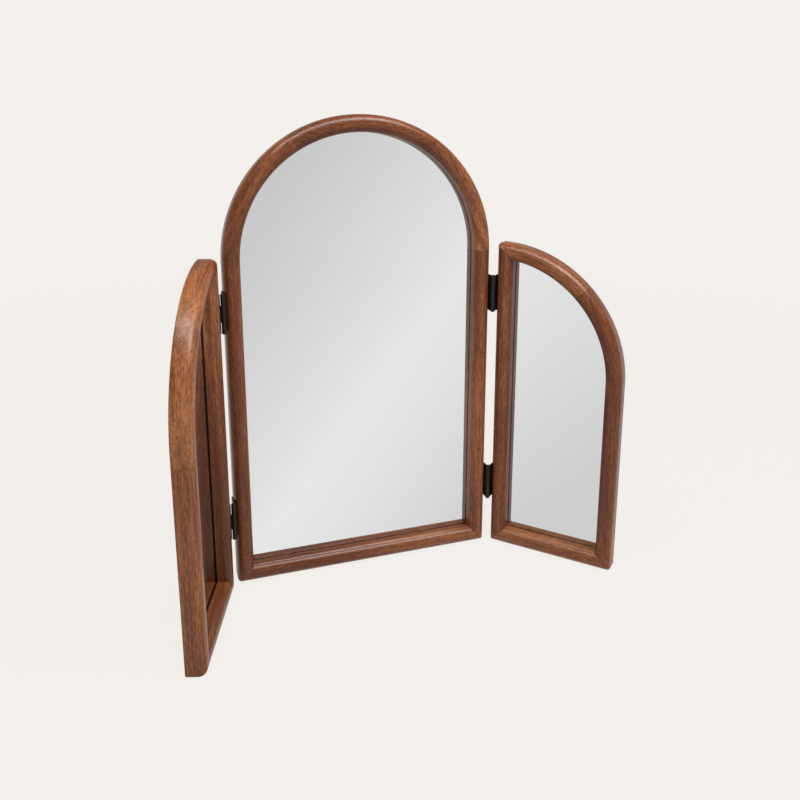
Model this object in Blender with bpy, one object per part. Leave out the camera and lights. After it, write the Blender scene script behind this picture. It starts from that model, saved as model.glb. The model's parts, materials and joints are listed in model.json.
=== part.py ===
"""Three-panel folding arch mirror for a hair styling place.

An arched centre panel carries a quarter-arched wing on each side. Every panel is a frame of
rounded hardwood members round a mirror glass and a back board, and each wing swings on two
butt hinges whose barrels stand in front of the frames, so the wings close over the centre.

Frame of the model: metres, +Z up, +X along the centre panel, -Y towards the mirror side.
The origin is on the underside of the centre panel, midway along it and midway through it.
"""

from math import acos, atan, atan2, cos, hypot, pi, radians, sin, sqrt

import bmesh
import bpy
from mathutils import Matrix

# ---------------------------------------------------------------- driving dimensions
PANEL_WIDTH = 0.360  # centre panel, outside
STRAIGHT_HEIGHT = 0.435  # base to the spring line of the centre arch
WING_RISE = 0.010  # how far a wing's top stands above the spring line
MEETING_GAP = 0.002  # between the closed wings
LEFT_OPENING = radians(72.4)  # wing from flat open, towards the mirror side
RIGHT_OPENING = radians(48.3)

FRAME_WIDTH = 0.022  # member, seen from the front
FRAME_DEPTH = 0.025  # member, front to back
OUTER_ROUND = 0.0105
INNER_ROUND = 0.0095
BACK_ROUND = 0.0015

GLASS_THICKNESS = 0.003
GLASS_COVER = 0.005  # how far the frame's lip reaches over the glass
BOARD_THICKNESS = 0.0025
BOARD_SHELF = 0.005  # how far the back board reaches past the glass

RIGHT_ARCH_JOINT = radians(56)  # joints between the three blanks of the centre arch
LEFT_ARCH_JOINT = radians(121)
WING_ARCH_JOINT = radians(45)
WING_ARCH_TAIL = 0.014  # straight end of the lower wing blank, below its spring line

HINGE_HEIGHT = 0.050
LOWER_HINGE_FROM_BASE = 0.095  # to the hinge's middle
UPPER_HINGE_FROM_TOP = 0.070  # from the wing's top to the hinge's middle
BARREL_RADIUS = 0.003
AXIS_AHEAD = 0.0020  # hinge axis, in front of the frames' crowns
HALF_GAP = 0.0024  # hinge axis, beside each panel's edge with the wing flat open
PIN_RADIUS = 0.0015
PIN_HEAD_RADIUS = 0.0022
PIN_HEAD_TOP_RADIUS = 0.0013
PIN_HEAD_HEIGHT = 0.0008
LEAF_THICKNESS = 0.0015
LEAF_BACK_MARGIN = 0.0035  # from the leaf's edge to the back of the frame
LEAF_CORNER = 0.002
LEAF_TO_BARREL = 0.0004  # from the barrel's back to the leaf's plate
MIDDLE_KNUCKLE_HEIGHT = 0.022
HINGE_SCREW_SPACING = 0.032

HINGE_SCREW_LENGTH = 0.012
HINGE_SCREW_HEAD_HEIGHT = 0.0014
HINGE_SCREW_HEAD_RADIUS = 0.0028
HINGE_SCREW_RADIUS = 0.0013

BOARD_SCREW_LENGTH = 0.010
BOARD_SCREW_HEAD_HEIGHT = 0.0012
BOARD_SCREW_HEAD_RADIUS = 0.0024
BOARD_SCREW_RADIUS = 0.0011
BOARD_SCREW_LOW = 0.070  # height of the lower pair above the base
BOARD_SCREW_BELOW_SPRING = 0.060  # upper pair, below the arch's spring line

FIT_GAP = 0.0003  # between pieces that touch
JOINT_GAP = 0.0002  # each member's end stands this far back from its glue line

# ---------------------------------------------------------------- mesh fineness
ROUND_STEPS = 5  # segments in a quarter round of the profile
BACK_STEPS = 2
CORNER_STEPS = 3
ARCH_STEP = radians(5)
BARREL_SIDES = 16
SCREW_SIDES = 10

# ---------------------------------------------------------------- derived sizes
ARCH_RADIUS = PANEL_WIDTH / 2
WING_WIDTH = (PANEL_WIDTH - MEETING_GAP) / 2
WING_HEIGHT = STRAIGHT_HEIGHT + WING_RISE
WING_SPRING = WING_HEIGHT - WING_WIDTH

BACK_Y = FRAME_DEPTH / 2
FRONT_Y = -FRAME_DEPTH / 2
HINGE_Y = FRONT_Y - AXIS_AHEAD

BOARD_STEP = BOARD_THICKNESS + FIT_GAP  # depths of the two rebate steps, from the back
GLASS_STEP = BOARD_STEP + GLASS_THICKNESS + FIT_GAP
GLASS_INSET = FRAME_WIDTH - GLASS_COVER  # rebate walls, from the outer edge
BOARD_INSET = GLASS_INSET - BOARD_SHELF

LOWER_HINGE_Z = LOWER_HINGE_FROM_BASE
UPPER_HINGE_Z = WING_HEIGHT - UPPER_HINGE_FROM_TOP
KNUCKLE_REACH = BARREL_RADIUS + LEAF_TO_BARREL  # where a leaf's plate starts, clear of the barrel
LEAF_OUTER = HALF_GAP - FIT_GAP  # leaf faces, from the hinge axis
LEAF_INNER = LEAF_OUTER - LEAF_THICKNESS
LEAF_EDGE = AXIS_AHEAD + FRAME_DEPTH - LEAF_BACK_MARGIN
# The screws sit between the glass rebate and the start of the front rounding.
HINGE_SCREW_REACH = AXIS_AHEAD + FRAME_DEPTH - (GLASS_STEP + FRAME_DEPTH - OUTER_ROUND) / 2

COLOURS = {
    "walnut": ((0.155, 0.058, 0.026, 1), 0.38, 0.0),
    "mirror": ((0.86, 0.87, 0.88, 1), 0.02, 1.0),
    "backing": ((0.050, 0.030, 0.020, 1), 0.80, 0.0),
    "black_metal": ((0.012, 0.012, 0.013, 1), 0.42, 0.6),
    "steel": ((0.45, 0.45, 0.46, 1), 0.35, 1.0),
}


# ---------------------------------------------------------------- helpers
def clear_scene():
    for obj in list(bpy.data.objects):
        bpy.data.objects.remove(obj, do_unlink=True)


def material(name):
    """The named Principled material, made once."""
    if name in bpy.data.materials:
        return bpy.data.materials[name]
    colour, roughness, metallic = COLOURS[name]
    made = bpy.data.materials.new(name)
    made.use_nodes = True
    shader = made.node_tree.nodes["Principled BSDF"]
    shader.inputs["Base Color"].default_value = colour
    shader.inputs["Roughness"].default_value = roughness
    shader.inputs["Metallic"].default_value = metallic
    return made


def place(name, mesh, finish, parent=None, matrix=None):
    """A named object with this mesh and finish, at matrix in its parent's frame."""
    obj = bpy.data.objects.new(name, mesh)
    bpy.context.scene.collection.objects.link(obj)
    if not mesh.materials:
        mesh.materials.append(material(finish))
    obj.parent = parent
    obj.matrix_local = matrix or Matrix.Identity(4)
    return obj


def finished_mesh(name, shape, smooth_angle=radians(35)):
    """The bmesh as a mesh with its faces pointing out and its rounds shaded smooth."""
    bmesh.ops.recalc_face_normals(shape, faces=shape.faces)
    mesh = bpy.data.meshes.new(name)
    shape.to_mesh(mesh)
    shape.free()
    mesh.shade_smooth()
    mesh.set_sharp_from_angle(angle=smooth_angle)
    return mesh


def cut(obj, cutter):
    """Takes the cutter's shape out of obj."""
    cutter.hide_render = True
    cutter.display_type = "WIRE"
    modifier = obj.modifiers.new("cut_" + cutter.name, "BOOLEAN")
    modifier.operation = "DIFFERENCE"
    modifier.object = cutter


def stacked(rings):
    """A closed bmesh through rings of the same number of points, with a face at each end."""
    shape = bmesh.new()
    loops = [[shape.verts.new(point) for point in ring] for ring in rings]
    count = len(loops[0])
    for first, second in zip(loops, loops[1:]):
        for i in range(count):
            j = (i + 1) % count
            shape.faces.new((first[i], first[j], second[j], second[i]))
    shape.faces.new(loops[0][::-1])
    shape.faces.new(loops[-1])
    return shape


def lerp(low, high, share):
    return low + (high - low) * share


# ---------------------------------------------------------------- frame members
def quarter(centre, radius, first, steps):
    """Points of a quarter circle, turning clockwise from the angle first."""
    angles = [first - pi / 2 * step / steps for step in range(steps + 1)]
    return [(centre[0] + radius * cos(a), centre[1] + radius * sin(a)) for a in angles]


def frame_profile():
    """The member's section as (inset from the outer edge, depth from the back) points."""
    outer = quarter((OUTER_ROUND, FRAME_DEPTH - OUTER_ROUND), OUTER_ROUND, pi, ROUND_STEPS)
    inner_centre = (FRAME_WIDTH - INNER_ROUND, FRAME_DEPTH - INNER_ROUND)
    inner = quarter(inner_centre, INNER_ROUND, pi / 2, ROUND_STEPS)
    rebate = [
        (FRAME_WIDTH, GLASS_STEP),
        (GLASS_INSET, GLASS_STEP),
        (GLASS_INSET, BOARD_STEP),
        (BOARD_INSET, BOARD_STEP),
        (BOARD_INSET, 0),
    ]
    back = quarter((BACK_ROUND, BACK_ROUND), BACK_ROUND, -pi / 2, BACK_STEPS)
    return outer + inner + rebate + back


def member_mesh(name, route, stations, side=1, reach=0.0):
    """The profile carried along a route of the panel's plane.

    route(inset, share) gives (distance across, height) for an inset from the outer edge.
    side mirrors the panel, and reach is the distance from the parent's origin to the
    panel's edge, so that a wing is modelled from its hinge axis.
    """
    origin_y = HINGE_Y if reach else 0
    profile = frame_profile()
    rings = []
    for station in stations:
        ring = []
        for inset, depth in profile:
            across, height = route(inset, station)
            ring.append((side * (reach + across), BACK_Y - depth - origin_y, height))
        rings.append(ring)
    return finished_mesh(name, stacked(rings))


def straight(start, end):
    """A route between two points that each depend on the inset."""

    def route(inset, share):
        (x0, z0), (x1, z1) = start(inset), end(inset)
        return lerp(x0, x1, share), lerp(z0, z1, share)

    return route


def arc(centre_z, radius, first, last, tail=0.0):
    """A route round (0, centre_z), between two angles that depend on the inset.

    A tail adds a straight run below the first angle, which is then zero.
    """

    def route(inset, share):
        rho = radius - inset
        start = first(rho) + (0 if tail else JOINT_GAP / rho)
        end = last(rho) - JOINT_GAP / rho
        if share < 0:
            return rho, centre_z - tail + JOINT_GAP
        angle = lerp(start, end, share)
        return rho * cos(angle), centre_z + rho * sin(angle)

    return route


def shares(angle):
    """Even stations along an arch blank of this angle."""
    steps = max(2, round(angle / ARCH_STEP))
    return [step / steps for step in range(steps + 1)]


def centre_members():
    """{name: mesh} of the six members of the centre frame."""
    half = PANEL_WIDTH / 2
    top = STRAIGHT_HEIGHT - JOINT_GAP
    made = {}
    for word, side in (("left", -1), ("right", 1)):
        route = straight(
            lambda u, side=side: (side * (half - u), u + JOINT_GAP),
            lambda u, side=side: (side * (half - u), top),
        )
        made[f"centre_{word}_stile"] = (route, (0, 1))
    made["centre_bottom_rail"] = (
        straight(
            lambda u: (-half + u + JOINT_GAP, u),
            lambda u: (half - u - JOINT_GAP, u),
        ),
        (0, 1),
    )
    blanks = (
        ("right", 0, RIGHT_ARCH_JOINT),
        ("top", RIGHT_ARCH_JOINT, LEFT_ARCH_JOINT),
        ("left", LEFT_ARCH_JOINT, pi),
    )
    for word, first, last in blanks:
        route = arc(STRAIGHT_HEIGHT, ARCH_RADIUS, lambda r, a=first: a, lambda r, a=last: a)
        made[f"centre_arch_{word}"] = (route, shares(last - first))
    return {name: member_mesh(name, *parts) for name, parts in made.items()}


def mitre_height(across):
    """Height of the top mitre of a wing, which runs from its outer to its inner corner."""
    inner_radius = WING_WIDTH - FRAME_WIDTH
    inner_height = WING_SPRING + sqrt(inner_radius**2 - FRAME_WIDTH**2)
    return lerp(WING_HEIGHT, inner_height, across / FRAME_WIDTH)


def mitre_angle(rho):
    """Where a circle of radius rho about the wing's arch centre meets the top mitre."""
    slope = FRAME_WIDTH / (WING_HEIGHT - mitre_height(FRAME_WIDTH))
    reach = slope * WING_WIDTH / (rho * hypot(1, slope))
    return atan(slope) + acos(min(1.0, reach))


def wing_members(word, side):
    """{name: mesh} of the five members of one wing frame, from its hinge axis."""
    shape = {
        "hinge_stile": (
            straight(
                lambda u: (u, u + JOINT_GAP),
                lambda u: (u, mitre_height(u) - JOINT_GAP),
            ),
            (0, 1),
        ),
        "bottom_rail": (
            straight(
                lambda u: (u + JOINT_GAP, u),
                lambda u: (WING_WIDTH - u - JOINT_GAP, u),
            ),
            (0, 1),
        ),
        "outer_stile": (
            straight(
                lambda u: (WING_WIDTH - u, u + JOINT_GAP),
                lambda u: (WING_WIDTH - u, WING_SPRING - WING_ARCH_TAIL - JOINT_GAP),
            ),
            (0, 1),
        ),
        "arch_lower": (
            arc(WING_SPRING, WING_WIDTH, lambda r: 0, lambda r: WING_ARCH_JOINT, WING_ARCH_TAIL),
            [-1, *shares(WING_ARCH_JOINT)],
        ),
        "arch_upper": (
            arc(WING_SPRING, WING_WIDTH, lambda r: WING_ARCH_JOINT, mitre_angle),
            shares(pi / 2 - WING_ARCH_JOINT),
        ),
    }
    return {
        f"{word}_wing_{name}": member_mesh(name, *parts, side=side, reach=HALF_GAP)
        for name, parts in shape.items()
    }


# ---------------------------------------------------------------- glass and back boards
def arch_outline(inset):
    """Outline of the centre panel at an inset, from its lower left corner."""
    radius = ARCH_RADIUS - inset
    steps = round(pi / ARCH_STEP)
    angles = [pi * step / steps for step in range(steps + 1)]
    arch = [(radius * cos(a), STRAIGHT_HEIGHT + radius * sin(a)) for a in angles]
    return [(-radius, inset), (radius, inset), *arch]


def wing_outline(inset):
    """Outline of a wing at an inset, across from its hinge edge."""
    radius = WING_WIDTH - inset
    top = acos(inset / radius)
    steps = round(top / ARCH_STEP)
    angles = [top * step / steps for step in range(steps + 1)]
    arch = [(radius * cos(a), WING_SPRING + radius * sin(a)) for a in angles]
    return [(inset, inset), (radius, inset), *arch]


def sheet_mesh(name, outline, back, front, side=1, reach=0.0):
    """A flat sheet of this outline between two depths from the back of the frame."""
    origin_y = HINGE_Y if reach else 0
    rings = [
        [(side * (reach + x), BACK_Y - depth - origin_y, z) for x, z in outline]
        for depth in (back, front)
    ]
    return finished_mesh(name, stacked(rings))


def add_sheets(word, outline, parent=None, **placing):
    """The mirror glass and the back board of one panel. Returns the board."""
    glass = outline(GLASS_INSET + FIT_GAP)
    name = f"{word}_mirror"
    mesh = sheet_mesh(name, glass, BOARD_STEP, BOARD_STEP + GLASS_THICKNESS, **placing)
    place(name, mesh, "mirror", parent)
    name = f"{word}_back_board"
    mesh = sheet_mesh(name, outline(BOARD_INSET + FIT_GAP), 0, BOARD_THICKNESS, **placing)
    return place(name, mesh, "backing", parent)


# ---------------------------------------------------------------- screws
def turned_mesh(name, outline, sides):
    """A solid of revolution about Z. outline lists (radius, height), ends on the axis."""
    shape = bmesh.new()
    (_, bottom), (_, top) = outline[0], outline[-1]
    rings = []
    for radius, height in outline[1:-1]:
        angles = [2 * pi * side / sides for side in range(sides)]
        rings.append([shape.verts.new((radius * cos(a), radius * sin(a), height)) for a in angles])
    for first, second in zip(rings, rings[1:]):
        for i in range(sides):
            j = (i + 1) % sides
            shape.faces.new((first[i], first[j], second[j], second[i]))
    for ring, height in ((rings[0], bottom), (rings[-1], top)):
        if abs(height - ring[0].co.z) < 1e-9:
            shape.faces.new(ring)
            continue
        tip = shape.verts.new((0, 0, height))
        for i in range(sides):
            shape.faces.new((ring[i], ring[(i + 1) % sides], tip))
    return finished_mesh(name, shape)


def screw_outline(length, head_height, head_radius, radius, gap=0.0, rise=0.0):
    """A countersunk screw whose head is flush with Z = 0 and whose point is below.

    gap grows it all round and rise carries its head up, which makes the shape of its hole.
    """
    wide, thin = head_radius + gap, radius + gap
    return [
        (0, -length - gap),
        (thin / 2, -length - gap + thin / 2),
        (thin, -length + 2 * thin),
        (thin, -head_height),
        (wide, rise),
        (0, rise),
    ]


def add_screw(name, sizes, finish, matrix, holed, parent):
    """One screw at matrix in its parent's frame, and its hole through the holed objects."""
    mesh_name = finish + "_screw"
    mesh = bpy.data.meshes.get(mesh_name)
    if mesh is None:
        mesh = turned_mesh(mesh_name, screw_outline(*sizes), SCREW_SIDES)
    place(name, mesh, finish, parent, matrix)
    hole_name = finish + "_screw_hole"
    hole = bpy.data.meshes.get(hole_name)
    if hole is None:
        outline = screw_outline(*sizes, gap=FIT_GAP, rise=FIT_GAP)
        hole = turned_mesh(hole_name, outline, SCREW_SIDES)
    cutter = place(name + "_hole", hole, finish, parent, matrix)
    for obj in holed:
        cut(obj, cutter)


HINGE_SCREW = (
    HINGE_SCREW_LENGTH,
    HINGE_SCREW_HEAD_HEIGHT,
    HINGE_SCREW_HEAD_RADIUS,
    HINGE_SCREW_RADIUS,
)
BOARD_SCREW = (
    BOARD_SCREW_LENGTH,
    BOARD_SCREW_HEAD_HEIGHT,
    BOARD_SCREW_HEAD_RADIUS,
    BOARD_SCREW_RADIUS,
)


def add_board_screws(word, board, spots, parent=None, side=1, reach=0.0):
    """Screws through the back board into the shelf of the frame.

    spots lists (distance across, height, the frame member under it).
    """
    origin_y = HINGE_Y if reach else 0
    for number, (across, height, member) in enumerate(spots, 1):
        spot = Matrix.Translation((side * (reach + across), BACK_Y - origin_y, height))
        matrix = spot @ Matrix.Rotation(-pi / 2, 4, "X")
        name = f"{word}_board_screw_{number}"
        add_screw(name, BOARD_SCREW, "steel", matrix, (board, member), parent)


# ---------------------------------------------------------------- hinges
def leaf_outline(levels):
    """Outline of a leaf's plate as (back, height) points, up its front edge and round its back.

    The front edge has a point at each of the levels, where a knuckle starts or ends.
    """
    low, high = levels[0], levels[-1]
    centre = LEAF_EDGE - LEAF_CORNER
    turns = [pi / 2 * step / CORNER_STEPS for step in range(CORNER_STEPS + 1)]
    corner = [(centre + LEAF_CORNER * sin(a), LEAF_CORNER * (1 - cos(a))) for a in turns]
    top = [(y, high - drop) for y, drop in corner]
    bottom = [(y, low + drop) for y, drop in reversed(corner)]
    return [(KNUCKLE_REACH, level) for level in levels] + top + bottom


def leaf_mesh(name, knuckles):
    """A hinge leaf, a plate with the given knuckles, each a (low, high) pair of heights.

    The plate stands back from the barrel on the negative side of the axis. A knuckle is a
    ring round the pin that opens into the plate's front edge.
    """
    shape = bmesh.new()
    ends = (-HINGE_HEIGHT / 2, HINGE_HEIGHT / 2)
    levels = sorted({*ends, *(level for knuckle in knuckles for level in knuckle)})
    outline = leaf_outline(levels)
    outer = [shape.verts.new((-LEAF_OUTER, y, z)) for y, z in outline]
    inner = [shape.verts.new((-LEAF_INNER, y, z)) for y, z in outline]
    shape.faces.new(outer)
    shape.faces.new(inner[::-1])
    for i in range(len(outline)):
        j = (i + 1) % len(outline)
        if i + 1 < len(levels) and (levels[i], levels[j]) in knuckles:
            continue
        shape.faces.new((outer[i], outer[j], inner[j], inner[i]))

    first = atan2(sqrt(BARREL_RADIUS**2 - LEAF_INNER**2), -LEAF_INNER)
    last = atan2(sqrt(BARREL_RADIUS**2 - LEAF_OUTER**2), -LEAF_OUTER) - 2 * pi
    angles = [lerp(first, last, step / BARREL_SIDES) for step in range(BARREL_SIDES + 1)]
    mouth = last + 2 * pi - first
    bore_angles = [*angles, last - mouth / 4, last - mouth / 2]
    bore_radius = PIN_RADIUS + FIT_GAP
    count = len(bore_angles)
    for knuckle in knuckles:
        rims, bores = [], []
        for level in knuckle:
            rim = [(BARREL_RADIUS * cos(a), BARREL_RADIUS * sin(a), level) for a in angles]
            bore = [(bore_radius * cos(a), bore_radius * sin(a), level) for a in bore_angles]
            place_in_plate = levels.index(level)
            rim = [shape.verts.new(point) for point in rim]
            rims.append([*rim, outer[place_in_plate], inner[place_in_plate]])
            bores.append([shape.verts.new(point) for point in bore])
        for i in range(count):
            j = (i + 1) % count
            if i != count - 2:
                shape.faces.new((rims[0][i], rims[0][j], rims[1][j], rims[1][i]))
            shape.faces.new((bores[0][i], bores[0][j], bores[1][j], bores[1][i]))
            for rim, bore in zip(rims, bores):
                shape.faces.new((rim[i], rim[j], bore[j], bore[i]))
    return finished_mesh(name, shape)


def hinge_meshes():
    """The fixed leaf with two outer knuckles, the moving leaf with the middle one, the pin."""
    half = HINGE_HEIGHT / 2
    middle = MIDDLE_KNUCKLE_HEIGHT / 2
    outer_start = middle + FIT_GAP
    fixed = leaf_mesh("fixed_leaf", [(-half, -outer_start), (outer_start, half)])
    moving = leaf_mesh("moving_leaf", [(-middle, middle)])
    low, high = -half - FIT_GAP, half + FIT_GAP
    pin = turned_mesh(
        "pin",
        [
            (0, low - PIN_HEAD_HEIGHT),
            (PIN_HEAD_TOP_RADIUS, low - PIN_HEAD_HEIGHT),
            (PIN_HEAD_RADIUS, low),
            (PIN_RADIUS, low),
            (PIN_RADIUS, high),
            (PIN_HEAD_RADIUS, high),
            (PIN_HEAD_TOP_RADIUS, high + PIN_HEAD_HEIGHT),
            (0, high + PIN_HEAD_HEIGHT),
        ],
        BARREL_SIDES,
    )
    return fixed, moving, pin


def add_hinge(word, side, axis, wing, height, meshes, stiles):
    """One hinge at a height. stiles are the centre's and the wing's, which take its screws."""
    fixed_mesh, moving_mesh, pin_mesh = meshes
    # Half a turn about Y carries a leaf from one side of the axis to the other.
    over = Matrix.Rotation(pi, 4, "Y")
    spot = Matrix.Translation((0, 0, height))
    fixed_turn = Matrix.Identity(4) if side > 0 else over
    moving_turn = over if side > 0 else Matrix.Identity(4)
    place(f"{word}_hinge_pin", pin_mesh, "black_metal", axis, spot)
    leaves = (
        ("fixed", fixed_mesh, axis, fixed_turn, stiles[0]),
        ("moving", moving_mesh, wing, moving_turn, stiles[1]),
    )
    for kind, mesh, parent, turn, stile in leaves:
        leaf = place(f"{word}_hinge_{kind}_leaf", mesh, "black_metal", parent, spot @ turn)
        for number, z in enumerate((-HINGE_SCREW_SPACING / 2, HINGE_SCREW_SPACING / 2), 1):
            head = Matrix.Translation((-LEAF_INNER, HINGE_SCREW_REACH, z))
            matrix = spot @ turn @ head @ Matrix.Rotation(pi / 2, 4, "Y")
            name = f"{word}_hinge_{kind}_screw_{number}"
            add_screw(name, HINGE_SCREW, "black_metal", matrix, (leaf, stile), parent)


# ---------------------------------------------------------------- panels
def empty(name, location, angle=0.0):
    """An empty on a hinge axis, turned about it."""
    made = bpy.data.objects.new(name, None)
    bpy.context.scene.collection.objects.link(made)
    made.matrix_world = Matrix.Translation(location) @ Matrix.Rotation(angle, 4, "Z")
    return made


def add_centre():
    """The centre panel. Returns its members."""
    meshes = centre_members()
    members = {name: place(name, mesh, "walnut") for name, mesh in meshes.items()}
    board = add_sheets("centre", arch_outline)
    across = PANEL_WIDTH / 2 - (BOARD_INSET + GLASS_INSET) / 2
    high = STRAIGHT_HEIGHT - BOARD_SCREW_BELOW_SPRING
    spots = []
    for side, stile in ((-1, "centre_left_stile"), (1, "centre_right_stile")):
        for height in (BOARD_SCREW_LOW, high):
            spots.append((side * across, height, members[stile]))
    add_board_screws("centre", board, spots)
    return members


def add_wing(word, side, opening, centre, meshes):
    """One wing with its two hinges, turned open from flat."""
    location = (side * (PANEL_WIDTH / 2 + HALF_GAP), HINGE_Y, 0)
    axis = empty(f"{word}_hinge_axis", location)
    wing = empty(f"{word}_wing_axis", location, -side * opening)
    members = {}
    for name, mesh in wing_members(word, side).items():
        members[name] = place(name, mesh, "walnut", wing)
    placing = {"side": side, "reach": HALF_GAP}
    board = add_sheets(f"{word}_wing", wing_outline, wing, **placing)

    shelf = (BOARD_INSET + GLASS_INSET) / 2
    spots = [
        (shelf, WING_SPRING, members[f"{word}_wing_hinge_stile"]),
        (WING_WIDTH - shelf, BOARD_SCREW_LOW, members[f"{word}_wing_outer_stile"]),
        (WING_WIDTH / 2, shelf, members[f"{word}_wing_bottom_rail"]),
    ]
    add_board_screws(f"{word}_wing", board, spots, wing, **placing)
    stiles = (centre[f"centre_{word}_stile"], members[f"{word}_wing_hinge_stile"])
    for level, height in (("lower", LOWER_HINGE_Z), ("upper", UPPER_HINGE_Z)):
        add_hinge(f"{word}_{level}", side, axis, wing, height, meshes, stiles)


def main():
    clear_scene()
    centre = add_centre()
    meshes = hinge_meshes()
    add_wing("left", -1, LEFT_OPENING, centre, meshes)
    add_wing("right", 1, RIGHT_OPENING, centre, meshes)


if __name__ == "__main__":
    main()
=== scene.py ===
import json
from math import cos, pi, radians, sin

import bmesh
import bpy
import numpy as np
from bpy.props import FloatProperty, FloatVectorProperty, PointerProperty
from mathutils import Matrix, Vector


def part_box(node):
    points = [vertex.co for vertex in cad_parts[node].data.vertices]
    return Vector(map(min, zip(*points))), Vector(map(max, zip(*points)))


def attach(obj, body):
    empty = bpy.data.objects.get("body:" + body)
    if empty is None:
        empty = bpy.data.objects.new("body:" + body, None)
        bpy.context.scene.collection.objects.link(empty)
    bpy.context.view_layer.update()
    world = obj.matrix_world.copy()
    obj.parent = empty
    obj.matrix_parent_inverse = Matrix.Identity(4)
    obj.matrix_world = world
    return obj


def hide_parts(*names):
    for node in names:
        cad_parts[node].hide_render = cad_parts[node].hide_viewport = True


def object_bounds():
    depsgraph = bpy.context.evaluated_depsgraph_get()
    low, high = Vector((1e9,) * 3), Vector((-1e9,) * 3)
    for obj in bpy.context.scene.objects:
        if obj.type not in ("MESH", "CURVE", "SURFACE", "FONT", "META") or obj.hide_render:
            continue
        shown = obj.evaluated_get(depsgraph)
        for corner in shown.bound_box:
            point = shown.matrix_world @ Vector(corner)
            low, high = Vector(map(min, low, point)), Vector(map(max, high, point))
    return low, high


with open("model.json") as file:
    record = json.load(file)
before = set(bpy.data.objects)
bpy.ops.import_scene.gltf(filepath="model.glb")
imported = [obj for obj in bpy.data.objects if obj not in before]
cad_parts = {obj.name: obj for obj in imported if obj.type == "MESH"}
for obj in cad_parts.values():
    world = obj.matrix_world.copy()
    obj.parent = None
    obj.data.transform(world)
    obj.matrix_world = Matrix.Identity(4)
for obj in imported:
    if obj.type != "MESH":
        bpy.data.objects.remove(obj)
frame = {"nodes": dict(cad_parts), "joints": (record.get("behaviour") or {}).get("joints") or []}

bl_info = {
    "name": "Folding Arched Mirror",
    "version": (1, 0, 0),
    "blender": (4, 5, 0),
    "location": "View3D > Sidebar > Arched Mirror",
    "description": "Turned wood frames, mirrors and hinges for a three-panel folding mirror",
    "category": "Add Mesh",
}

CAD_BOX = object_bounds()

# ---------------------------------------------------------------- sizes read from the frame
GLUE_GAP = 0.0002  # the frame's members stand this far back from each glue line
FIT_GAP = 0.0003  # between pieces of the frame that touch
RAIL_LOW, RAIL_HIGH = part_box("centre_bottom_rail")
STILE_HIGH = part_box("centre_left_stile")[1]
BOARD_LOW, BOARD_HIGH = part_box("centre_back_board")
GLASS_LOW, GLASS_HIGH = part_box("centre_mirror")

PANEL_WIDTH = RAIL_HIGH.x - RAIL_LOW.x + 2 * GLUE_GAP
SPRING_HEIGHT = STILE_HIGH.z + GLUE_GAP
MEMBER_WIDTH = RAIL_HIGH.z - RAIL_LOW.z
MEMBER_DEPTH = RAIL_HIGH.y - RAIL_LOW.y
BOARD_INSET = BOARD_LOW.z - FIT_GAP
BOARD_THICKNESS = BOARD_HIGH.y - BOARD_LOW.y
GLASS_INSET = GLASS_LOW.z - FIT_GAP
GLASS_THICKNESS = GLASS_HIGH.y - GLASS_LOW.y
BOARD_STEP = BOARD_THICKNESS + FIT_GAP  # rebate steps, in depth from the back
GLASS_STEP = BOARD_STEP + GLASS_THICKNESS + FIT_GAP
WING_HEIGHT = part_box("left_wing_arch_upper")[1].z
JOINTS = {joint["child"]: joint for joint in frame["joints"]}

MEETING_GAP = 0.002  # between the closed wings
WING_WIDTH = (PANEL_WIDTH - MEETING_GAP) / 2
WING_SPRING = WING_HEIGHT - WING_WIDTH
RIGHT_ARCH_JOINT = radians(56)  # glue lines of the arches, about their centres
LEFT_ARCH_JOINT = radians(121)
WING_ARCH_JOINT = radians(45)


class Panel:
    """Where a panel stands: its body, its hinge axis, and how far it is opened."""

    def __init__(self, word, body, side=1, axis=(0, 0), angle=0.0, reach=0.0):
        self.word = word
        self.body = body
        self.side = side
        self.axis = axis
        self.angle = angle
        self.reach = reach

    def turned(self, x, y, z):
        """Points given from the hinge axis with the wing shut flat, turned to where they are."""
        x, y, z = np.broadcast_arrays(x, y, z)
        turn_cos, turn_sin = cos(self.angle), sin(self.angle)
        return np.stack(
            [
                self.axis[0] + turn_cos * x - turn_sin * y,
                self.axis[1] + turn_sin * x + turn_cos * y,
                z,
            ],
            axis=-1,
        )

    def world(self, across, depth, height):
        """Points of the panel as an (..., 3) array.

        across runs along the panel from its hinge edge, or from the middle of the centre
        panel, depth runs forwards from its back, and height up.
        """
        y = MEMBER_DEPTH / 2 - depth - self.axis[1]
        return self.turned(self.side * (self.reach + across), y, height)


def wing_panel(word, side):
    """The wing's panel, with its hinge axis and opening taken from its joint."""
    joint = JOINTS[f"{word}_wing"]
    x, y = joint["pos_m"][:2]
    opening = -radians(joint["range_deg"][0])
    reach = abs(x) - PANEL_WIDTH / 2
    return Panel(f"{word}_wing", f"{word}_wing", side, (x, y), -side * opening, reach)


CENTRE = Panel("centre", "centre_panel")
LEFT = wing_panel("left", -1)
RIGHT = wing_panel("right", 1)
FIXED = {"left": Panel("left", "centre_panel", -1, LEFT.axis),
         "right": Panel("right", "centre_panel", 1, RIGHT.axis)}

LEAF_LOW, LEAF_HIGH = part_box("right_lower_hinge_fixed_leaf")
HINGE_HEIGHT = LEAF_HIGH.z - LEAF_LOW.z
LEAF_EDGE = LEAF_HIGH.y - RIGHT.axis[1]  # from the axis to the leaf's back edge
LEAF_OUTER = RIGHT.reach - FIT_GAP  # from the axis to the leaf's outer face


def box_middle(node):
    """Middle of a node's box."""
    low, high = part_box(node)
    return (low + high) / 2


# ---------------------------------------------------------------- what a user can change
def metres(name, description, default):
    """A length property in metres."""
    return FloatProperty(
        name=name, description=description, default=default, min=0, unit="LENGTH", precision=5
    )


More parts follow.
